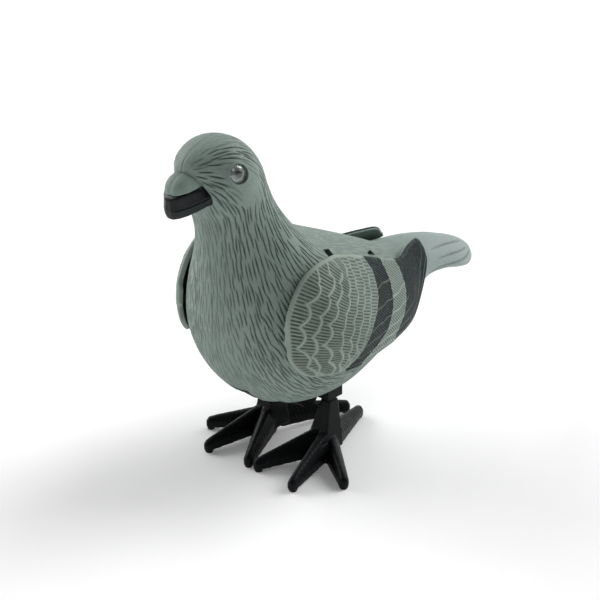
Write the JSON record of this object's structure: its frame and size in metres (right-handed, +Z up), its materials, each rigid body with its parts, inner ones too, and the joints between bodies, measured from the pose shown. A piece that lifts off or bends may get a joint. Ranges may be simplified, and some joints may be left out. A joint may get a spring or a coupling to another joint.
{
  "type": "flapping model pigeon",
  "caption": "Small standing model pigeon in moulded plastic with hinged wings and swinging legs driven by a gear motor.",
  "frame": {"origin": "middle of the overall box, on the floor under the feet", "axes": "+Z up, beak towards -Y, tail towards +Y, the bird's left side towards +X"},
  "size_m": [0.0692, 0.146, 0.115],
  "materials": {
    "body_plastic": "moulded grey-green plastic with carved feather relief",
    "wing_plastic": "moulded lighter grey-green plastic with two dark painted bands",
    "beak_plastic": "black satin plastic",
    "leg_plastic": "black satin plastic with fine moulded scales",
    "frame_plastic": "black satin plastic",
    "eye_lens": "glossy silver-grey dome",
    "eye_pupil": "glossy black",
    "steel_pin": "drawn steel pin",
    "steel_screw": "zinc-plated steel screw",
    "mechanism_plastic": "off-white acetal",
    "gear_plastic": "natural nylon",
    "brass_pinion": "machined brass",
    "motor_steel": "nickel-plated steel can",
    "motor_plastic": "pale grey plastic",
    "battery_case": "printed sleeve over a metal can",
    "contact_plate": "nickel-plated spring plate",
    "lead_red": "red wire insulation",
    "lead_black": "black wire insulation"
  },
  "bodies": {
    "torso": {"body_shell_left": "body_plastic", "body_shell_right": "body_plastic", "beak": "beak_plastic", "belly_frame": "frame_plastic", "battery_door": "frame_plastic", "eye_lens_left": "eye_lens", "eye_lens_right": "eye_lens", "eye_pupil_left": "eye_pupil", "eye_pupil_right": "eye_pupil", "wing_axle_left": "steel_pin", "wing_axle_right": "steel_pin", "hip_pin_left": "steel_pin", "hip_pin_right": "steel_pin", "reduction_axle_1": "steel_pin", "reduction_axle_2": "steel_pin", "gearbox_screw_1": "steel_screw", "gearbox_screw_2": "steel_screw", "gearbox_screw_3": "steel_screw", "shell_screw_1": "steel_screw", "shell_screw_2": "steel_screw", "shell_screw_3": "steel_screw", "battery_door_screw": "steel_screw", "wing_bracket": "mechanism_plastic", "gearbox_case": "mechanism_plastic", "gearbox_cover": "mechanism_plastic", "motor_can": "motor_steel", "motor_end_cap": "motor_plastic", "battery_1": "battery_case", "battery_2": "battery_case", "battery_contact_front": "contact_plate", "battery_contact_rear": "contact_plate", "switch_body": "motor_plastic", "motor_lead_red": "lead_red", "motor_lead_black": "lead_black"},
    "crank": {"crankshaft": "steel_pin", "drive_gear": "gear_plastic", "crank_disc_left": "mechanism_plastic", "crank_disc_right": "mechanism_plastic", "wing_cam": "mechanism_plastic"},
    "second_gear": {"reduction_gear_2": "gear_plastic"},
    "first_gear": {"reduction_gear_1": "gear_plastic"},
    "motor_rotor": {"motor_pinion": "brass_pinion", "motor_shaft": "steel_pin"},
    "left_wing": {"wing_left": "wing_plastic"},
    "right_wing": {"wing_right": "wing_plastic"},
    "yoke": {"wing_yoke": "mechanism_plastic"},
    "left_leg": {"leg_left": "leg_plastic"},
    "right_leg": {"leg_right": "leg_plastic"},
    "switch_slider": {"switch_knob": "frame_plastic"}
  },
  "joints": [
    {"name": "crank_spin", "type": "hinge", "parent": "torso", "child": "crank", "pos_m": [0, -0.019, 0.0506], "axis": [1, 0, 0], "continuous": true},
    {"name": "second_gear_spin", "type": "hinge", "parent": "torso", "child": "second_gear", "pos_m": [0, -0.0102, 0.0506], "axis": [1, 0, 0], "continuous": true},
    {"name": "first_gear_spin", "type": "hinge", "parent": "torso", "child": "first_gear", "pos_m": [0, -0.0014, 0.0506], "axis": [1, 0, 0], "continuous": true},
    {"name": "motor_spin", "type": "hinge", "parent": "torso", "child": "motor_rotor", "pos_m": [0, 0.0074, 0.0506], "axis": [1, 0, 0], "continuous": true},
    {"name": "wing_left_flap", "type": "hinge", "parent": "torso", "child": "left_wing", "pos_m": [0.007, -0.025, 0.065], "axis": [0, -0.9968, 0.0797], "range_deg": [0, 12]},
    {"name": "wing_right_flap", "type": "hinge", "parent": "torso", "child": "right_wing", "pos_m": [-0.007, -0.025, 0.065], "axis": [0, 0.9968, -0.0797], "range_deg": [0, 12]},
    {"name": "yoke_slide", "type": "slide", "parent": "torso", "child": "yoke", "axis": [0, 0, -1], "range_m": [0, 0.00084]},
    {"name": "leg_left_swing", "type": "hinge", "parent": "torso", "child": "left_leg", "pos_m": [0.013, -0.019, 0.028], "axis": [1, 0, 0], "range_deg": [-8, 8]},
    {"name": "leg_right_swing", "type": "hinge", "parent": "torso", "child": "right_leg", "pos_m": [-0.013, -0.019, 0.028], "axis": [1, 0, 0], "range_deg": [-8, 8]},
    {"name": "switch_slide", "type": "slide", "parent": "torso", "child": "switch_slider", "axis": [1, 0, 0], "range_m": [0, 0.0026]}
  ],
  "couplings": [
    {"joint": "second_gear_spin", "follows": "crank_spin", "ratio": -4.5},
    {"joint": "first_gear_spin", "follows": "crank_spin", "ratio": 20.25},
    {"joint": "motor_spin", "follows": "crank_spin", "ratio": -91.125},
    {"joint": "wing_right_flap", "follows": "wing_left_flap", "ratio": 1},
    {"joint": "yoke_slide", "follows": "wing_left_flap", "m_per_rad": 0.004},
    {"joint": "leg_right_swing", "follows": "leg_left_swing", "ratio": -1}
  ]
}
